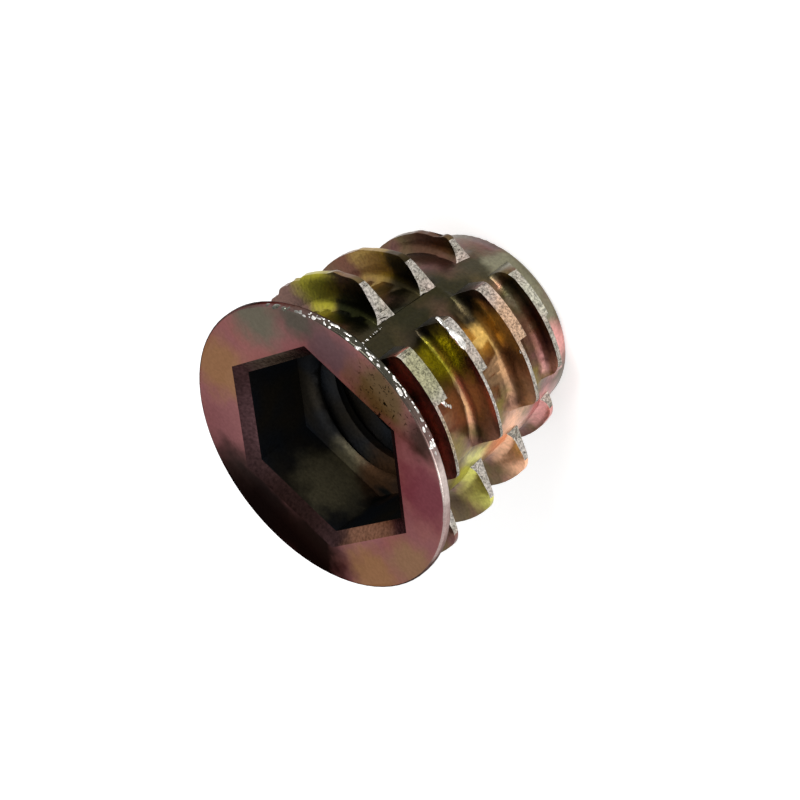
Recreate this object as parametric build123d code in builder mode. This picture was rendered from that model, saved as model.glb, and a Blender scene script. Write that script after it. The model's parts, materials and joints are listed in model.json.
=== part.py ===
import os

from build123d import *

os.makedirs("parts", exist_ok=True)

# A threaded insert for wood, cast in one piece from zinc alloy.
# It stands on its tip, with the thin flange and the hexagon socket on top.
# The origin is the middle of the tip face and the shank axis is the Z axis.
# All sizes are in millimetres. Heights are measured up from the tip face.

# The shank between the flange and the tip
overall_height = 11.9
neck_radius = 5.05
taper_bottom_radius = 4.7
taper_bottom_height = 2.9
tip_shoulder_radius = 4.5
tip_shoulder_height = 1.2
tip_radius = 4.3
tip_edge_rounding = 0.18

# The flange
flange_radius = 6.95
flange_thickness = 0.45
flange_edge_rounding = 0.12
flange_neck_rounding = 0.2

# The hexagon socket for an 8 mm key, and its wide chamfered mouth
key_width = 8.0
key_clearance = 0.05
mouth_width = 9.16
mouth_depth = 0.4
socket_depth = 3.4
corner_direction = 30.0

# The M8 threaded bore under the socket, cut to the crests of its thread
screw_diameter = 8.0
screw_pitch = 1.25
bore_lead_radius = 3.72
bore_exit_radius = 3.75

# The coarse outer thread is made of half rings in four moulded sides.
# Each ring steps down from the one before it, so together they wind as a
# right-hand thread. A ring is square on the side that faces the flange and
# leans on the side that faces the tip. It meets the shank in a wide hollow.
root_hollow = 0.65
buried_root = 0.14

# Right-hand side: three rings cut off flat at the front and the back
right_tops = [8.29, 5.44, 2.45]
right_radii = [6.57, 6.22, 5.53]
right_half_widths = [3.37, 3.30, 2.92]
right_land = 0.28
right_lean = 0.35
right_corner_rounding = 0.7

# Left-hand side: four rings, the first one just under the flange
left_tops = [9.68, 7.00, 4.32, 1.82]
left_radii = [6.81, 6.55, 6.23, 5.21]
left_half_widths = [2.68, 2.68, 2.71, 2.92]
left_land = 0.2
left_lean = 0.22
left_corner_rounding = 0.8

# Front side: short blocks whose crests are wide on the right of the mould's
# parting line and narrow on the left of it
front_tops = [10.23, 7.31, 4.46, 2.03]
front_radii = [6.32, 6.39, 6.12, 5.50]
front_wide_lands = [0.82, 0.52, 0.66, 0.45]
front_narrow_lands = [0.16, 0.16, 0.20, 0.25]
front_right_ends = [2.62, 2.65, 2.82, 2.57]
front_left_ends = [-3.26, -3.05, -2.87, -2.60]
front_corner_roundings = [0.45, 0.5, 0.55, 1.0]
front_leans = [0.35, 0.35, 0.35, 0.85]

# Back side: short blocks half a step further down than the front ones
back_tops = [8.80, 5.92, 3.14]
back_radii = [6.46, 6.22, 5.86]
back_wide_lands = [0.75, 0.60, 0.65]
back_narrow_lands = [0.16, 0.16, 0.20]
back_left_ends = [-2.75, -2.70, -2.65]
back_right_ends = [3.15, 3.00, 2.80]
back_corner_rounding = 0.5
back_lean = 0.35

socket_width = key_width + key_clearance
bore_radius = screw_diameter / 2 - 0.5413 * screw_pitch
socket_floor = overall_height - socket_depth
flange_underside = overall_height - flange_thickness
reach = 20.0


# Radius of the tapered shank at a height.
def shank_radius(height):
    fall = neck_radius - taper_bottom_radius
    share = (flange_underside - height) / (flange_underside - taper_bottom_height)
    return neck_radius - fall * share


# One thread ring all the way round, drawn as half of its cross-section.
# Its outer edge runs past the crest, which the outline of the ring cuts.
def ring(top, radius, land, lean):
    foot = shank_radius(top) - buried_root
    bend = root_hollow * (1 - 0.5**0.5)
    beyond = radius + 0.5
    leaning_foot = max(top - land - lean * (radius - foot), 0.1)
    with BuildPart() as band:
        with BuildSketch(Plane.XZ):
            with BuildLine():
                ThreePointArc(
                    (foot, top + root_hollow),
                    (foot + bend, top + bend),
                    (foot + root_hollow, top),
                )
                Polyline(
                    (foot + root_hollow, top),
                    (beyond, top),
                    (beyond, top - land),
                    (radius, top - land),
                    (foot, leaning_foot),
                    (foot, top + root_hollow),
                )
            make_face()
        revolve(axis=Axis.Z)
    return band.part


# The part of a ring that lies inside one outline with two rounded corners.
def cut_ring(top, radius, land, lean, low, high, rounding):
    with BuildPart() as kept:
        with BuildSketch(Plane.XY) as outline:
            Circle(radius)
            with Locations(((low[0] + high[0]) / 2, (low[1] + high[1]) / 2)):
                Rectangle(high[0] - low[0], high[1] - low[1], mode=Mode.INTERSECT)
            on_crest = outline.vertices().filter_by(
                lambda corner: abs(corner.center().length - radius) < 0.01
                and abs(corner.X) > 1
                and abs(corner.Y) > 1
            )
            fillet(on_crest, rounding)
        extrude(amount=overall_height)
        add(ring(top, radius, land, lean), mode=Mode.INTERSECT)
    return kept.part


right_rings = [
    cut_ring(
        top,
        radius,
        right_land,
        right_lean,
        (1, -half_width),
        (reach, half_width),
        right_corner_rounding,
    )
    for top, radius, half_width in zip(right_tops, right_radii, right_half_widths)
]

left_rings = [
    cut_ring(
        top,
        radius,
        left_land,
        left_lean,
        (-reach, -half_width),
        (-1, half_width),
        left_corner_rounding,
    )
    for top, radius, half_width in zip(left_tops, left_radii, left_half_widths)
]

front_right_halves = [
    cut_ring(top, radius, land, lean, (0, -reach), (end, -1), rounding)
    for top, radius, land, lean, end, rounding in zip(
        front_tops,
        front_radii,
        front_wide_lands,
        front_leans,
        front_right_ends,
        front_corner_roundings,
    )
]

front_left_halves = [
    cut_ring(top, radius, land, lean, (end, -reach), (0, -1), rounding)
    for top, radius, land, lean, end, rounding in zip(
        front_tops,
        front_radii,
        front_narrow_lands,
        front_leans,
        front_left_ends,
        front_corner_roundings,
    )
]

back_left_halves = [
    cut_ring(top, radius, land, back_lean, (end, 1), (0, reach), back_corner_rounding)
    for top, radius, land, end in zip(
        back_tops, back_radii, back_wide_lands, back_left_ends
    )
]

back_right_halves = [
    cut_ring(top, radius, land, back_lean, (0, 1), (end, reach), back_corner_rounding)
    for top, radius, land, end in zip(
        back_tops, back_radii, back_narrow_lands, back_right_ends
    )
]

with BuildPart() as insert_body:
    # Shank, slightly narrower towards the tip
    with BuildSketch(Plane.XZ):
        with BuildLine():
            Polyline(
                (0, 0),
                (tip_radius, 0),
                (tip_shoulder_radius, tip_shoulder_height),
                (taper_bottom_radius, taper_bottom_height),
                (neck_radius, flange_underside),
                (neck_radius, overall_height),
                (0, overall_height),
                close=True,
            )
        make_face()
    revolve(axis=Axis.Z)
    tip_edge = insert_body.edges().filter_by(GeomType.CIRCLE).sort_by(Axis.Z)[0]
    fillet(tip_edge, tip_edge_rounding)

    # Flange, a thin disc with softened edges
    with BuildSketch(Plane.XY.offset(flange_underside)):
        Circle(flange_radius)
    extrude(amount=flange_thickness)
    rim = insert_body.edges().filter_by(GeomType.CIRCLE)
    rim_edges = rim.filter_by(lambda edge: abs(edge.radius - flange_radius) < 0.01)
    fillet(rim_edges, flange_edge_rounding)
    neck = insert_body.edges().filter_by(GeomType.CIRCLE)
    neck_edges = neck.filter_by(
        lambda edge: abs(edge.radius - neck_radius) < 0.01
        and abs(edge.center().Z - flange_underside) < 0.01
    )
    fillet(neck_edges, flange_neck_rounding)

    # Coarse outer thread
    add(right_rings)
    add(left_rings)
    add(front_right_halves)
    add(front_left_halves)
    add(back_left_halves)
    add(back_right_halves)

    # Hexagon socket
    with BuildSketch(Plane.XY.offset(socket_floor)):
        RegularPolygon(socket_width / 2, 6, major_radius=False, rotation=corner_direction)
    extrude(amount=socket_depth, mode=Mode.SUBTRACT)

    # Chamfered mouth of the socket
    with BuildSketch(Plane.XY.offset(overall_height)):
        RegularPolygon(mouth_width / 2, 6, major_radius=False, rotation=corner_direction)
    with BuildSketch(Plane.XY.offset(overall_height - mouth_depth)):
        RegularPolygon(socket_width / 2, 6, major_radius=False, rotation=corner_direction)
    loft(mode=Mode.SUBTRACT)

    # Threaded bore, right through, with a lead-in at the socket floor
    with BuildSketch(Plane.XY):
        Circle(bore_radius)
    extrude(amount=socket_floor, mode=Mode.SUBTRACT)
    bore_edges = insert_body.edges().filter_by(GeomType.CIRCLE).filter_by(
        lambda edge: abs(edge.radius - bore_radius) < 0.01
    )
    chamfer(bore_edges.sort_by(Axis.Z)[-1], bore_lead_radius - bore_radius)
    chamfer(bore_edges.sort_by(Axis.Z)[0], bore_exit_radius - bore_radius)

insert_body.part.label = "insert_body"
export_step(insert_body.part, "parts/insert_body.step")
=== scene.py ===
import json
import math
import random

import bpy
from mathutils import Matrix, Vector

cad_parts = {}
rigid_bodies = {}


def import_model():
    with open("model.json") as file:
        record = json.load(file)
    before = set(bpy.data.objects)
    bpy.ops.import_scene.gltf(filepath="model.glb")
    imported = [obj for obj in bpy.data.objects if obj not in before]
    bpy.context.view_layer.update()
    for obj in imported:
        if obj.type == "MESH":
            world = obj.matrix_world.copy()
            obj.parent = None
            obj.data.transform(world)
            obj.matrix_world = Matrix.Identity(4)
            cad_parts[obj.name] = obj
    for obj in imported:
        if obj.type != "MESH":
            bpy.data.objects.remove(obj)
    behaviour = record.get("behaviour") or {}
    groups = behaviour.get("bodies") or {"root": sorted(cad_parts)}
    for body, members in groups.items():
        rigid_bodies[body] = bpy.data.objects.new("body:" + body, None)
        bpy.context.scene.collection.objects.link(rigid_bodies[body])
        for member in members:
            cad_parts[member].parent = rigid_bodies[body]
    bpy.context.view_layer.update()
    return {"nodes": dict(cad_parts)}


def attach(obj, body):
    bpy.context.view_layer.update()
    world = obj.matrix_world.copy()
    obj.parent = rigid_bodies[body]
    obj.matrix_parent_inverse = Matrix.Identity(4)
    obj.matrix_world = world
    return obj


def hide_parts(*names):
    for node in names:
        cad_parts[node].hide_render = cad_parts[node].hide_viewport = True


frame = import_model()

# Insert body, one casting of zinc alloy under an iridescent chromate film. It
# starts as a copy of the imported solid, gets the screw thread of its bore and
# the marks that the mould left on it, and then stands in for that solid.
body_name = "insert_body"
same_point = 0.000002
same_plane = math.radians(1.0)
mm_per_metre = 1000
bpy.ops.object.select_all(action="DESELECT")
cad_body = frame["nodes"][body_name]
bpy.context.view_layer.objects.active = cad_body
cad_body.select_set(True)
bpy.ops.object.duplicate()
body = bpy.context.object
body.name = "insert_casting"
bpy.ops.object.mode_set(mode="EDIT")
bpy.ops.mesh.select_all(action="SELECT")
bpy.ops.mesh.remove_doubles(threshold=same_point)
bpy.ops.mesh.dissolve_limited(angle_limit=same_plane)
bpy.ops.object.mode_set(mode="OBJECT")

# The groove of the M8 screw thread: one tooth space, widest at the bore, set
# upright beside the axis, wound up the bore from below the tip, and then cut
# out of the casting.
thread_pitch = 0.00125
groove_inside = 0.00322
groove_outside = 0.00396
groove_middle = (groove_outside + groove_inside) / 2
groove_opening = 0.00104
groove_bottom = 0.00018
groove_start = -0.0015
groove_turns = 8
steps_per_turn = 48
bpy.ops.mesh.primitive_plane_add(size=1, location=(0, 0, 0))
groove = bpy.context.object
groove.name = "thread_groove"
bpy.ops.object.mode_set(mode="EDIT")
bpy.ops.transform.rotate(value=math.radians(90), orient_axis="X", center_override=(0, 0, 0))
bpy.ops.transform.resize(value=(groove_outside - groove_inside, 1, groove_opening))
bpy.ops.transform.translate(value=(groove_middle, 0, groove_start))
bpy.ops.object.mode_set(mode="OBJECT")
for vertex in groove.data.vertices:
    vertex.select = vertex.co.x > groove_middle
for edge in groove.data.edges:
    edge.select = all(groove.data.vertices[end].select for end in edge.vertices)
for face in groove.data.polygons:
    face.select = False
bpy.context.tool_settings.mesh_select_mode = (True, False, False)
bpy.ops.object.mode_set(mode="EDIT")
bpy.ops.transform.resize(value=(1, 1, groove_bottom / groove_opening))
bpy.ops.object.mode_set(mode="OBJECT")
winding = groove.modifiers.new("winding", "SCREW")
winding.axis = "Z"
winding.screw_offset = thread_pitch
winding.iterations = groove_turns
winding.steps = steps_per_turn
winding.render_steps = steps_per_turn
winding.use_merge_vertices = False
bpy.ops.object.modifier_apply(modifier=winding.name)
bpy.ops.object.mode_set(mode="EDIT")
bpy.ops.mesh.select_all(action="DESELECT")
bpy.ops.mesh.select_non_manifold()
bpy.ops.mesh.edge_face_add()
bpy.ops.mesh.select_all(action="SELECT")
bpy.ops.mesh.normals_make_consistent(inside=False)
bpy.ops.object.mode_set(mode="OBJECT")

bpy.ops.object.select_all(action="DESELECT")
bpy.context.view_layer.objects.active = body
body.select_set(True)
bpy.ops.object.modifier_add(type="BOOLEAN")
cutting = body.modifiers[-1]
cutting.operation = "DIFFERENCE"
cutting.solver = "EXACT"
cutting.object = groove
bpy.ops.object.modifier_apply(modifier=cutting.name)
bpy.data.objects.remove(groove)

# Softened edges, which also tell the worn edges apart from the faces; the worn edges of the
# blocks are painted bright, partly as a highlight
edge_rounding = 0.00007
crease_limit = math.radians(50)
coat_and_painted_light = bpy.data.materials.new("chromate_coat_and_painted_light")
hammered = bpy.data.materials.new("hammered_zinc_and_glints")
front = bpy.data.materials.new("front_coat_and_shade")
mouth = bpy.data.materials.new("mouth_coat_and_shade")
inside = bpy.data.materials.new("socket_painted_shade")
worn_edge_and_highlight = bpy.data.materials.new("worn_edge_and_highlight")
rim = bpy.data.materials.new("rim_coat_and_shade")
body.data.materials.clear()
for material in (coat_and_painted_light, hammered, front, mouth, inside, worn_edge_and_highlight, rim):
    body.data.materials.append(material)
COAT, HAMMERED, FRONT, MOUTH, INSIDE, WORN_HIGHLIT_EDGE, RIM = range(7)
for face in body.data.polygons:
    face.material_index = COAT
bpy.ops.object.modifier_add(type="BEVEL")
softening = body.modifiers[-1]
softening.width = edge_rounding
softening.segments = 2
softening.limit_method = "ANGLE"
softening.angle_limit = crease_limit
softening.material = WORN_HIGHLIT_EDGE
bpy.ops.object.modifier_apply(modifier=softening.name)

# Which finish each face has, told by where it lies and which way it looks.
# Radii are from the axis, and feet and tops are heights above the tip. How far
# a face looks a certain way goes from 0, not at all, to 1, straight that way.
flange_foot = 0.0112
rim_foot = 0.0113
rim_radius = 0.00685
block_half_width = 0.0034
block_edge_radius = 0.0052
block_crest_radius = 0.0054
crest_looks_out = 0.8
flat_nearest = 0.0024
flat_furthest = 0.0036
flat_start = 0.0030
flat_radius = 0.0046
flat_looks_along_y = 0.93
mouth_radius = 0.0054
mouth_foot = 0.01150
mouth_top = 0.01185
mouth_looks_up = 0.3
bore_foot = 0.0002
bore_radius = 0.00425
socket_foot = 0.0084
socket_top = 0.0117
socket_radius = 0.0048
wall_looks_out = 0.5
front_foot = 0.01175
front_looks_up = 0.4
for face in body.data.polygons:
    middle = face.center
    radius = math.hypot(middle.x, middle.y)
    outward = Vector((middle.x, middle.y, 0)).normalized()
    looks_out = face.normal.dot(outward)
    softened = face.material_index == WORN_HIGHLIT_EDGE
    between_ends = abs(middle.x) < block_half_width
    below_flange = middle.z < flange_foot
    on_rim = radius > rim_radius and middle.z > rim_foot
    on_block_edge = (
        softened
        and radius > block_edge_radius
        and between_ends
        and below_flange
    )
    on_block_crest = (
        radius > block_crest_radius
        and between_ends
        and below_flange
        and looks_out > crest_looks_out
    )
    on_flat = (
        abs(face.normal.y) > flat_looks_along_y
        and flat_nearest < abs(middle.y) < flat_furthest
        and radius > flat_radius
        and abs(middle.x) > flat_start
        and below_flange
    )
    on_mouth = (
        radius < mouth_radius
        and middle.z > mouth_foot
        and looks_out < 0
        and face.normal.z > mouth_looks_up
    )
    in_socket_or_bore = (
        radius < socket_radius
        and bore_foot < middle.z < socket_top
        and looks_out < wall_looks_out
        and (radius < bore_radius or middle.z > socket_foot)
    )
    on_front = middle.z > front_foot and face.normal.z > front_looks_up
    if on_rim:
        face.material_index = RIM
    elif on_block_edge:
        face.material_index = WORN_HIGHLIT_EDGE
    elif (on_block_crest or on_flat) and not softened:
        face.material_index = HAMMERED
    elif on_mouth:
        face.material_index = FRONT if middle.z > mouth_top else MOUTH
    elif in_socket_or_bore:
        face.material_index = INSIDE
    elif on_front:
        face.material_index = FRONT
    else:
        face.material_index = COAT

# Hammered lands and flats: cut into small triangles whose corners, apart from
# those on the border of each area, are then scattered a little.
dent_depth = 0.00003
bpy.ops.object.mode_set(mode="EDIT")
bpy.ops.mesh.select_all(action="DESELECT")
bpy.ops.object.mode_set(mode="OBJECT")
for face in body.data.polygons:
    face.select = face.material_index == HAMMERED
bpy.context.tool_settings.mesh_select_mode = (False, False, True)
bpy.ops.object.mode_set(mode="EDIT")
bpy.ops.mesh.quads_convert_to_tris(quad_method="BEAUTY", ngon_method="BEAUTY")
bpy.ops.mesh.subdivide(number_cuts=4)
bpy.ops.mesh.select_mode(type="VERT")
bpy.ops.mesh.select_less()
bpy.ops.transform.vertex_random(offset=dent_depth, uniform=0.2, normal=0.6, seed=4)
bpy.ops.mesh.select_all(action="DESELECT")
bpy.ops.object.mode_set(mode="OBJECT")


# A spot on the casting, in millimetres: degrees clockwise from +X seen from
# above, distance from the axis, and depth below the flange face.
def spot(turn, radius, depth):
    flange_face_height = 11.9
    angle = math.radians(turn)
    return (radius * math.cos(angle), -radius * math.sin(angle), flange_face_height - depth)


# Nicks and swellings on the crests of the three right-hand rings, whose faces
# are first cut finer. Each one is its turn in degrees, the radius and depth of
# the crest, and how far out it goes in millimetres, less than nothing for a nick.
ring_start = 0.0036
ring_radius = 0.0053
ring_looks_out = 0.5
for face in body.data.polygons:
    middle = face.center
    radius = math.hypot(middle.x, middle.y)
    outward = Vector((middle.x, middle.y, 0)).normalized()
    on_ring = middle.x > ring_start and radius > ring_radius and middle.z < flange_foot
    face.select = on_ring and face.normal.dot(outward) > ring_looks_out
bpy.context.tool_settings.mesh_select_mode = (False, False, True)
bpy.ops.object.mode_set(mode="EDIT")
bpy.ops.mesh.subdivide(number_cuts=3)
bpy.ops.mesh.select_all(action="DESELECT")
bpy.ops.object.mode_set(mode="OBJECT")
bpy.context.tool_settings.mesh_select_mode = (True, False, False)
first_crest = (6.57, 3.7)
second_crest = (6.22, 6.55)
third_crest = (5.53, 9.6)
nicks = [
    (-3, first_crest, -0.16),
    (-9, first_crest, -0.12),
    (-20, first_crest, -0.18),
    (-27, first_crest, -0.10),
    (19, first_crest, 0.12),
    (8, second_crest, 0.06),
    (34, second_crest, -0.08),
    (12, third_crest, 0.06),
    (24, third_crest, -0.10),
    (31, third_crest, 0.15),
]
nick_width = 0.0005
for turn, (radius, depth), rise in nicks:
    place = Vector(spot(turn, radius, depth)) / mm_per_metre
    nearest = min(body.data.vertices, key=lambda vertex: (vertex.co - place).length)
    nearest.select = True
    bpy.ops.object.mode_set(mode="EDIT")
    bpy.ops.transform.translate(
        value=Vector((place.x, place.y, 0)).normalized() * (rise / mm_per_metre),
        use_proportional_edit=True,
        proportional_edit_falloff="SMOOTH",
        proportional_size=nick_width,
    )
    bpy.ops.mesh.select_all(action="DESELECT")
    bpy.ops.object.mode_set(mode="OBJECT")
smoothing_limit = math.radians(52)
bpy.ops.object.shade_smooth_by_angle(angle=smoothing_limit)
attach(body, "root")
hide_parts(body_name)


# Chromate film: a cloudy ground of two to four colours with patches laid over
# it one after another, each fading out from its spot with a wavering edge, and
# a fine grain. Some grounds and patches are painted light and shade, not film
# colour. A Mix node repeats the names of its sockets, so they are picked by
# number: inputs 0 for the share, 2 and 3 for its two values, 6 and 7 for its
# two colours, and outputs 0 for the value and 2 for the colour.
def film_and_painted_light(material, ground, patches, roughness, mottling):
    waver_fineness = 1.1
    waver_reach = 1.6
    cloud_fineness = 0.45
    first_stop = 0.36
    last_stop = 0.64
    full_strength_share = 0.3
    grain_fineness = 7
    grain_heights = (0.3, 0.7)
    grain_depth = 0.00005
    material.use_nodes = True
    nodes = material.node_tree.nodes
    links = material.node_tree.links
    surface = nodes["Principled BSDF"]
    place = nodes.new("ShaderNodeTexCoord")
    in_mm = nodes.new("ShaderNodeVectorMath")
    in_mm.name = "In millimetres"
    in_mm.operation = "SCALE"
    in_mm.inputs["Scale"].default_value = mm_per_metre
    links.new(place.outputs["Object"], in_mm.inputs[0])
    waver = nodes.new("ShaderNodeTexNoise")
    waver.inputs["Scale"].default_value = waver_fineness
    waver.inputs["Detail"].default_value = 3
    links.new(in_mm.outputs["Vector"], waver.inputs["Vector"])
    centred = nodes.new("ShaderNodeVectorMath")
    centred.operation = "SUBTRACT"
    centred.inputs[1].default_value = (0.5, 0.5, 0.5)
    links.new(waver.outputs["Color"], centred.inputs[0])
    stretch = nodes.new("ShaderNodeVectorMath")
    stretch.operation = "SCALE"
    stretch.inputs["Scale"].default_value = waver_reach
    links.new(centred.outputs["Vector"], stretch.inputs[0])
    warped = nodes.new("ShaderNodeVectorMath")
    warped.operation = "ADD"
    links.new(in_mm.outputs["Vector"], warped.inputs[0])
    links.new(stretch.outputs["Vector"], warped.inputs[1])
    clouds = nodes.new("ShaderNodeTexNoise")
    clouds.inputs["Scale"].default_value = cloud_fineness
    clouds.inputs["Detail"].default_value = 2
    links.new(in_mm.outputs["Vector"], clouds.inputs["Vector"])
    ramp = nodes.new("ShaderNodeValToRGB")
    links.new(clouds.outputs["Fac"], ramp.inputs["Fac"])
    stops = ramp.color_ramp.elements
    stops[0].position = first_stop
    stops[0].color = (*ground[0], 1)
    stops[1].position = last_stop
    stops[1].color = (*ground[-1], 1)
    stop_spacing = (last_stop - first_stop) / (len(ground) - 1)
    for order, colour in enumerate(ground[1:-1]):
        stop = stops.new(first_stop + stop_spacing * (order + 1))
        stop.color = (*colour, 1)
    last = ramp.outputs["Color"]
    for centre, reach, colour in patches:
        away = nodes.new("ShaderNodeVectorMath")
        away.operation = "DISTANCE"
        away.inputs[1].default_value = centre
        links.new(warped.outputs["Vector"], away.inputs[0])
        fade = nodes.new("ShaderNodeMapRange")
        fade.interpolation_type = "SMOOTHSTEP"
        fade.inputs["From Min"].default_value = reach
        fade.inputs["From Max"].default_value = reach * full_strength_share
        links.new(away.outputs["Value"], fade.inputs["Value"])
        mix = nodes.new("ShaderNodeMix")
        mix.data_type = "RGBA"
        mix.inputs[7].default_value = (*colour, 1)
        links.new(fade.outputs["Result"], mix.inputs[0])
        links.new(last, mix.inputs[6])
        last = mix.outputs[2]
    links.new(last, surface.inputs["Base Color"])
    grain = nodes.new("ShaderNodeTexNoise")
    grain.inputs["Scale"].default_value = grain_fineness
    grain.inputs["Detail"].default_value = 4
    links.new(in_mm.outputs["Vector"], grain.inputs["Vector"])
    darken(material, grain.outputs["Fac"], grain_heights, (1 - mottling, 1 + mottling))
    bump = nodes.new("ShaderNodeBump")
    bump.inputs["Strength"].default_value = mottling
    bump.inputs["Distance"].default_value = grain_depth
    links.new(grain.outputs["Fac"], bump.inputs["Height"])
    links.new(bump.outputs["Normal"], surface.inputs["Normal"])
    surface.inputs["Metallic"].default_value = 1.0
    surface.inputs["Roughness"].default_value = roughness


# Darkens or brightens what a film shows by how high a pattern is, everywhere
# or, where a spot and a reach are given, only round that spot.
def darken(material, pattern, heights, levels, centre=None, reach=None):
    full_strength_share = 0.4
    nodes = material.node_tree.nodes
    links = material.node_tree.links
    level = nodes.new("ShaderNodeMapRange")
    level.inputs["From Min"].default_value = heights[0]
    level.inputs["From Max"].default_value = heights[1]
    level.inputs["To Min"].default_value = levels[0]
    level.inputs["To Max"].default_value = levels[1]
    links.new(pattern, level.inputs["Value"])
    factor = level.outputs["Result"]
    if centre:
        away = nodes.new("ShaderNodeVectorMath")
        away.operation = "DISTANCE"
        away.inputs[1].default_value = centre
        links.new(nodes["In millimetres"].outputs["Vector"], away.inputs[0])
        fade = nodes.new("ShaderNodeMapRange")
        fade.inputs["From Min"].default_value = reach
        fade.inputs["From Max"].default_value = reach * full_strength_share
        links.new(away.outputs["Value"], fade.inputs["Value"])
        mix = nodes.new("ShaderNodeMix")
        mix.inputs[2].default_value = 1.0
        links.new(fade.outputs["Result"], mix.inputs[0])
        links.new(factor, mix.inputs[3])
        factor = mix.outputs[0]
    base = nodes["Principled BSDF"].inputs["Base Color"]
    shown = base.links[0].from_socket
    scaled = nodes.new("ShaderNodeVectorMath")
    scaled.operation = "SCALE"
    links.new(shown, scaled.inputs[0])
    links.new(factor, scaled.inputs["Scale"])
    links.new(scaled.outputs["Vector"], base)


# A noise pattern of a given fineness, in details per millimetre
def noise_pattern(material, fineness, distortion):
    nodes = material.node_tree.nodes
    noise = nodes.new("ShaderNodeTexNoise")
    noise.inputs["Scale"].default_value = fineness
    noise.inputs["Detail"].default_value = 2
    noise.inputs["Distortion"].default_value = distortion
    millimetres = nodes["In millimetres"].outputs["Vector"]
    material.node_tree.links.new(millimetres, noise.inputs["Vector"])
    return noise.outputs["Fac"]


# The film's chief colours, and the near-black that is painted shade
mauve = (0.25, 0.105, 0.105)
tan = (0.27, 0.14, 0.075)
yellow_green = (0.24, 0.19, 0.012)
olive = (0.045, 0.038, 0.014)
brown = (0.25, 0.14, 0.07)
red_brown = (0.34, 0.15, 0.10)
# Near-black, painted shade
painted_shade_dark = (0.016, 0.013, 0.008)
cream = (0.17, 0.125, 0.035)
salmon = (0.85, 0.46, 0.28)
rose = (0.68, 0.34, 0.31)
silver_green = (0.20, 0.19, 0.125)

# Film on the shank, rings and blocks, with painted shade, reflection and light in some of its
# patches
film_and_painted_light(
    coat_and_painted_light,
    ((0.085, 0.055, 0.030), (0.115, 0.080, 0.035), (0.150, 0.080, 0.050), (0.140, 0.062, 0.055)),
    [
        (spot(-14, 6.2, 3.6), 2.0, (0.18, 0.10, 0.08)),
        (spot(6, 5.9, 3.6), 1.9, (0.40, 0.36, 0.03)),
        # Painted shade: the near-black patches in the hollows of the first ring faces (turns 25
        # to 38), in the first gap (turns 46 to 54) and where the blocks start (turn 66)
        (spot(25, 5.0, 3.4), 1.5, (0.016, 0.018, 0.005)),
        (spot(38, 5.4, 3.6), 1.9, (0.012, 0.013, 0.004)),
        (spot(-2, 5.9, 6.4), 1.9, (0.15, 0.062, 0.038)),
        (spot(13, 5.6, 6.4), 1.6, (0.34, 0.22, 0.06)),
        (spot(34, 5.3, 6.4), 1.9, (0.018, 0.014, 0.006)),
        (spot(18, 5.2, 9.4), 1.9, (0.10, 0.05, 0.03)),
        (spot(50, 4.9, 5.0), 2.0, (0.020, 0.018, 0.008)),
        (spot(50, 4.9, 7.6), 2.1, (0.024, 0.021, 0.009)),
        (spot(46, 4.8, 9.8), 1.7, (0.045, 0.038, 0.020)),
        (spot(54, 5.0, 2.4), 2.2, (0.024, 0.020, 0.009)),
        (spot(75, 6.0, 1.7), 1.4, (0.70, 0.16, 0.12)),
        (spot(95, 6.0, 1.7), 1.4, (0.80, 0.18, 0.14)),
        (spot(113, 6.0, 1.7), 1.5, (0.75, 0.18, 0.14)),
        (spot(103, 5.7, 4.4), 2.1, brown),
        (spot(66, 5.3, 4.2), 1.3, painted_shade_dark),
        # Film colour and painted reflection: the bright yellow-green and ochre patches at turns
        # 77 and 80, on the halves of the blocks that face the light
        (spot(77, 5.6, 4.2), 1.6, (0.34, 0.30, 0.025)),
        (spot(87, 6.3, 4.5), 0.9, (0.10, 0.04, 0.03)),
        (spot(114, 6.2, 4.5), 1.4, red_brown),
        (spot(98, 5.5, 7.2), 1.9, brown),
        (spot(66, 5.3, 7.2), 1.3, painted_shade_dark),
        (spot(80, 5.5, 7.1), 1.5, (0.62, 0.38, 0.10)),
        (spot(111, 5.9, 7.3), 1.5, (0.46, 0.24, 0.15)),
        (spot(75, 5.2, 9.6), 1.3, olive),
        (spot(95, 5.2, 9.8), 1.6, (0.085, 0.038, 0.022)),
        (spot(109, 5.1, 9.8), 1.3, (0.13, 0.055, 0.05)),
        (spot(56, 4.6, 10.9), 1.5, silver_green),
        (spot(75, 4.6, 10.9), 1.6, silver_green),
        (spot(95, 4.6, 11.0), 1.3, silver_green),
        (spot(113, 4.6, 10.9), 1.6, rose),
        (spot(150, 6.3, 2.2), 1.4, (0.20, 0.09, 0.07)),
        # Film colour and painted light: the pale patches at turns 146 and 148 are made brighter
        # for the light that falls on these ring faces
        (spot(148, 5.8, 4.9), 2.4, (0.64, 0.62, 0.14)),
        (spot(148, 5.8, 7.5), 2.8, salmon),
        (spot(146, 5.1, 10.0), 1.8, (0.60, 0.27, 0.25)),
        (spot(124, 4.9, 3.2), 1.4, cream),
        (spot(124, 4.9, 5.9), 1.4, cream),
        (spot(124, 4.8, 8.8), 1.4, cream),
        (spot(205, 5.7, 5.0), 2.2, yellow_green),
        (spot(200, 5.4, 8.0), 2.2, tan),
        (spot(250, 5.8, 3.2), 2.2, mauve),
        (spot(290, 5.6, 6.2), 2.2, yellow_green),
        (spot(265, 5.2, 9.0), 2.2, salmon),
        (spot(320, 5.8, 4.0), 2.2, mauve),
    ],
    roughness=0.3,
    mottling=0.18,
)
# Fine ripples that the flow of metal left on the second front block, with their wavy reflection
# painted into the colour
ripple_reflection = noise_pattern(coat_and_painted_light, fineness=2.6, distortion=5)
darken(
    coat_and_painted_light,
    ripple_reflection,
    heights=(0.40, 0.60),
    levels=(0.40, 1.35),
    centre=spot(77, 5.8, 4.3),
    reach=1.5,
)
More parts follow.
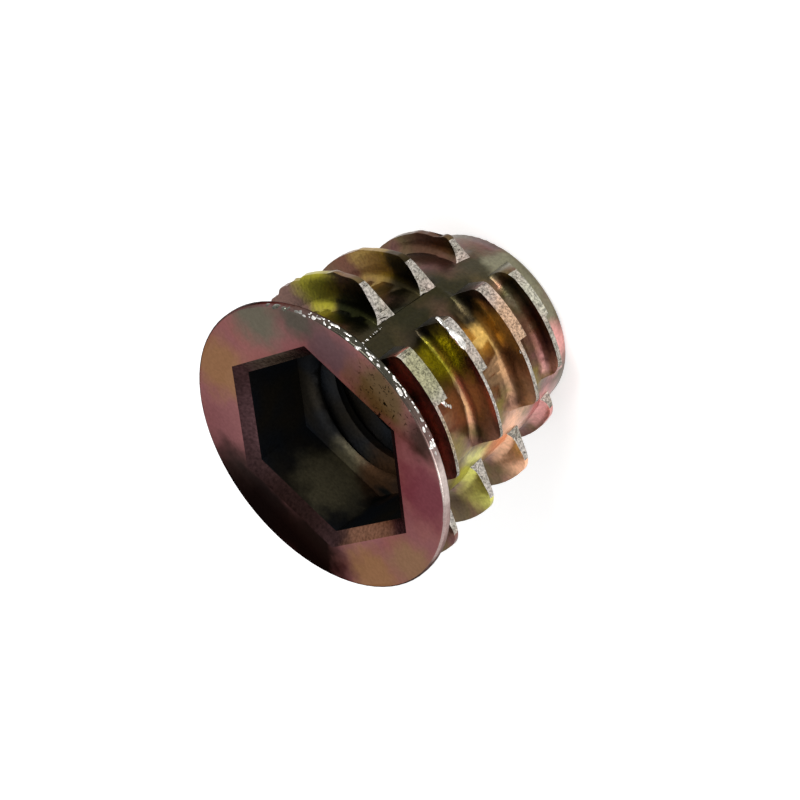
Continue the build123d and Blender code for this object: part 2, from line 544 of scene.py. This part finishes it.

# Film on the front of the flange, with dark pits towards its near edge and painted shade on its
# far side
film_and_painted_light(
    front,
    (mauve, mauve, (0.27, 0.11, 0.10)),
    [
        (spot(-36, 5.9, 0), 2.3, tan),
        (spot(-70, 6.0, 0), 2.0, (0.21, 0.085, 0.088)),
        (spot(5, 6.6, 0), 2.2, (0.14, 0.125, 0.095)),
        (spot(28, 6.9, 0), 2.0, (0.10, 0.085, 0.07)),
        (spot(45, 5.6, 0), 1.9, (0.135, 0.08, 0.085)),
        (spot(74, 5.8, 0), 2.4, (0.12, 0.078, 0.042)),
        (spot(97, 6.7, 0), 1.4, (0.06, 0.035, 0.03)),
        (spot(122, 6.0, 0), 2.4, (0.175, 0.055, 0.066)),
        (spot(163, 6.3, 0), 1.8, (0.25, 0.14, 0.085)),
        (spot(188, 6.2, 0), 2.0, tan),
        # Painted shade: these dark patches on the far side of the face stand for the shade there
        (spot(-84, 6.3, 0), 1.6, (0.10, 0.045, 0.045)),
        (spot(-96, 6.2, 0), 2.5, (0.030, 0.020, 0.018)),
        (spot(-114, 6.0, 0), 3.4, (0.012, 0.008, 0.0075)),
        (spot(-138, 6.0, 0), 3.3, (0.012, 0.007, 0.006)),
    ],
    roughness=0.34,
    mottling=0.08,
)
pits = noise_pattern(front, fineness=6.5, distortion=1)
darken(
    front,
    pits,
    heights=(0.60, 0.66),
    levels=(1.0, 0.12),
    centre=spot(76, 6.1, 0),
    reach=2.4,
)

# Film on the chamfered mouth of the socket, painted dark as shade, darkest on its far side
film_and_painted_light(
    mouth,
    ((0.03, 0.016, 0.016), (0.05, 0.026, 0.027)),
    [
        (spot(-60, 4.4, 0.2), 2.6, (0.055, 0.028, 0.03)),
        (spot(0, 4.4, 0.2), 2.4, (0.07, 0.055, 0.045)),
        (spot(-120, 4.4, 0.2), 2.8, (0.018, 0.009, 0.008)),
        (spot(180, 4.4, 0.2), 2.4, (0.17, 0.082, 0.052)),
    ],
    roughness=0.38,
    mottling=0.35,
)

# Inside the socket and the bore, the film is painted dark as shade, with a paler patch of
# painted light where the lower wall is lit and a near-black patch of painted shadow
film_and_painted_light(
    inside,
    ((0.007, 0.009, 0.012), (0.009, 0.009, 0.009), (0.012, 0.010, 0.007)),
    [
        (spot(-126, 4.2, 2.2), 2.3, (0.09, 0.078, 0.045)),
        (spot(-152, 3.6, 3.9), 1.9, (0.045, 0.022, 0.010)),
        (spot(-154, 4.5, 3.2), 0.9, (0.004, 0.0045, 0.004)),
    ],
    roughness=0.45,
    mottling=0.2,
)
inside.node_tree.nodes["Principled BSDF"].inputs["Metallic"].default_value = 0.8

# Bare zinc on the lands and flats, tinted here and there and finely flecked, the flecks partly
# painted glints
film_and_painted_light(
    hammered,
    ((0.36, 0.33, 0.30), (0.27, 0.25, 0.21), (0.39, 0.32, 0.28)),
    [
        (spot(76, 6.3, 1.9), 1.7, (0.24, 0.23, 0.14)),
        (spot(80, 6.1, 7.7), 1.8, (0.40, 0.26, 0.17)),
        (spot(104, 6.3, 1.8), 1.6, (0.30, 0.24, 0.16)),
        (spot(78, 5.4, 10.3), 1.6, (0.36, 0.35, 0.28)),
    ],
    roughness=0.22,
    mottling=0.2,
)
# Flecks, partly painted glints
flecks_and_glints = noise_pattern(hammered, fineness=9, distortion=0.6)
darken(hammered, flecks_and_glints, heights=(0.32, 0.62), levels=(0.45, 1.45))

# Worn edges of the blocks, rubbed down to clean zinc and painted brighter as a highlight
film_and_painted_light(
    worn_edge_and_highlight,
    ((0.55, 0.52, 0.46), (0.70, 0.66, 0.60)),
    [(spot(114, 6.2, 4.5), 1.4, (0.50, 0.36, 0.32))],
    roughness=0.2,
    mottling=0.3,
)

# Edge of the flange: painted shade under the burrs, pale where it is worn clean
film_and_painted_light(
    rim,
    ((0.10, 0.07, 0.06), (0.16, 0.09, 0.085)),
    [
        # Painted shade under the burrs
        (spot(60, 6.95, 0.2), 4.5, (0.045, 0.042, 0.032)),
        (spot(116, 6.95, 0.2), 2.2, (0.48, 0.40, 0.37)),
        (spot(140, 6.95, 0.2), 2.4, (0.42, 0.31, 0.29)),
    ],
    roughness=0.25,
    mottling=0.15,
)

# These films are dull: seen at a glancing angle, they darken
dull_edge_tint = (0.20, 0.19, 0.19, 1)
for material in (front, mouth, inside, rim):
    surface = material.node_tree.nodes["Principled BSDF"]
    surface.inputs["Specular Tint"].default_value = dull_edge_tint


# Burrs: drops of bare zinc that are part of the same casting, squeezed out
# where the parts of the mould met. One drop is modelled and copied along the
# edge, and the drops of a row are merged where they touch.
burr_metal = bpy.data.materials.new("burr_metal")
film_and_painted_light(
    burr_metal,
    ((0.22, 0.21, 0.18), (0.80, 0.78, 0.75), (0.45, 0.43, 0.39)),
    [(spot(20, 6.8, 0.2), 2.4, (0.10, 0.10, 0.08))],
    roughness=0.16,
    mottling=0.5,
)


# A row of drops from one spot to another. How many there are comes next, then
# their smallest and largest size in millimetres, and the seed of their chances.
def burr_row(name, start, end, count, sizes, seed):
    slip_along = 0.4
    slip_outward = 0.03
    slip_down = 0.05
    thickness = 0.8
    lengths = (1.1, 2.6)
    heights = (0.8, 1.2)
    merged_detail = 0.00003
    chance = random.Random(seed)
    bpy.ops.object.select_all(action="DESELECT")
    bpy.ops.mesh.primitive_ico_sphere_add(subdivisions=2, radius=1, location=(0, 0, 0))
    first_drop = bpy.context.object
    drops = [first_drop]
    for _ in range(count - 1):
        bpy.ops.object.select_all(action="DESELECT")
        bpy.context.view_layer.objects.active = first_drop
        first_drop.select_set(True)
        bpy.ops.object.duplicate()
        drops.append(bpy.context.object)
    for order, drop in enumerate(drops):
        share = (order + chance.uniform(-slip_along, slip_along)) / count
        turn, radius, depth = (a + (b - a) * share for a, b in zip(start, end))
        radius += chance.uniform(-slip_outward, slip_outward)
        depth += chance.uniform(-slip_down, slip_down)
        size = chance.uniform(*sizes) / mm_per_metre
        length = chance.uniform(*lengths)
        height = chance.uniform(*heights)
        drop.location = Vector(spot(turn, radius, depth)) / mm_per_metre
        drop.rotation_euler = (0, 0, -math.radians(turn))
        drop.scale = (size * thickness, size * length, size * height)
    bpy.ops.object.select_all(action="DESELECT")
    for drop in drops:
        drop.select_set(True)
    bpy.context.view_layer.objects.active = first_drop
    bpy.ops.object.join()
    row = bpy.context.object
    row.name = name
    bpy.ops.object.transform_apply(location=True, rotation=True, scale=True)
    bpy.ops.object.modifier_add(type="REMESH")
    merging = row.modifiers[-1]
    merging.mode = "VOXEL"
    merging.voxel_size = merged_detail
    bpy.ops.object.modifier_apply(modifier=merging.name)
    bpy.ops.object.modifier_add(type="SMOOTH")
    rounding = row.modifiers[-1]
    rounding.iterations = 2
    bpy.ops.object.modifier_apply(modifier=rounding.name)
    bpy.ops.object.shade_smooth()
    row.data.materials.clear()
    row.data.materials.append(burr_metal)
    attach(row, "root")


burr_row("rim_burr", (14, 6.86, 0.10), (104, 6.88, 0.16), 110, (0.05, 0.11), 5)
burr_row("rim_burr_low", (34, 6.93, 0.26), (100, 6.93, 0.28), 46, (0.03, 0.07), 8)
burr_row("second_block_burr", (65.5, 6.28, 4.62), (77, 6.36, 4.62), 9, (0.10, 0.19), 3)
burr_row("parting_burr", (88, 6.24, 2.0), (96, 5.9, 2.9), 9, (0.05, 0.11), 9)
burr_row("third_block_burr", (88, 6.05, 7.5), (108, 6.0, 7.55), 12, (0.04, 0.09), 11)
burr_row("first_gap_burr", (46, 5.0, 3.3), (48, 5.0, 0.9), 16, (0.03, 0.06), 12)

# Floor, a plain pale sheet a hair under the tip. It looks white to the camera
# and to the metal, and still takes the shadow of the insert.
floor_width = 0.8
floor_gap = 0.00005
floor_glow = 0.42
bpy.ops.mesh.primitive_plane_add(size=floor_width, location=(0, 0, -floor_gap))
floor = bpy.context.object
floor.name = "floor"
bpy.ops.object.transform_apply(location=True)
pale = bpy.data.materials.new("pale_floor")
pale.use_nodes = True
floor.data.materials.append(pale)
surface = pale.node_tree.nodes["Principled BSDF"]
surface.inputs["Base Color"].default_value = (0.9, 0.9, 0.9, 1)
surface.inputs["Roughness"].default_value = 0.9
surface.inputs["Emission Color"].default_value = (1, 1, 1, 1)


# Gives one level to the light that falls on things, and another to what the
# camera or the metal sees.
def seen_level(tree, as_light, as_seen):
    path = tree.nodes.new("ShaderNodeLightPath")
    seen = path.outputs["Is Camera Ray"]
    for kind in ("Is Glossy Ray", "Is Transmission Ray"):
        either = tree.nodes.new("ShaderNodeMath")
        either.operation = "MAXIMUM"
        tree.links.new(seen, either.inputs[0])
        tree.links.new(path.outputs[kind], either.inputs[1])
        seen = either.outputs["Value"]
    level = tree.nodes.new("ShaderNodeMapRange")
    level.inputs["To Min"].default_value = as_light
    level.inputs["To Max"].default_value = as_seen
    tree.links.new(seen, level.inputs["Value"])
    return level.outputs["Result"]


glow = seen_level(pale.node_tree, as_light=0.0, as_seen=floor_glow)
pale.node_tree.links.new(glow, surface.inputs["Emission Strength"])

# World: plain white where it is seen, softer as light
world = bpy.data.worlds.new("studio")
bpy.context.scene.world = world
world.use_nodes = True
background = world.node_tree.nodes["Background"]
background.inputs["Color"].default_value = (1, 1, 1, 1)
brightness = seen_level(world.node_tree, as_light=0.5, as_seen=1.0)
world.node_tree.links.new(brightness, background.inputs["Strength"])

# Lamps: a small one from the right and a larger, weaker one from the left,
# both turned to the middle of the insert. Each is its name, its place, its
# size in metres and its power in watts.
insert_middle = Vector((0, 0, 0.006))
lamps = [
    ("key_lamp", (0.12, -0.10, 0.12), 0.06, 0.22),
    ("fill_lamp", (-0.10, -0.10, 0.14), 0.12, 0.12),
]
for name, place, size, energy in lamps:
    bpy.ops.object.light_add(type="AREA", location=place)
    lamp = bpy.context.object
    lamp.name = name
    lamp.data.size = size
    lamp.data.energy = energy
    lamp.rotation_mode = "QUATERNION"
    lamp.rotation_quaternion = (Vector(place) - insert_middle).to_track_quat("Z", "Y")

# Camera, where the photograph was taken from
camera_place = (0.02569699, -0.10174215, 0.08568706)
camera_turn = (0.49486891, 0.14668477, 0.42203764, -0.74530032)
bpy.ops.object.camera_add(location=camera_place)
camera = bpy.context.object
camera.rotation_mode = "QUATERNION"
camera.rotation_quaternion = camera_turn
camera.data.sensor_width = 36
camera.data.lens = 134.969
camera.data.clip_start = 0.001
camera.data.clip_end = 10
bpy.context.scene.camera = camera
bpy.context.scene.view_settings.view_transform = "Standard"
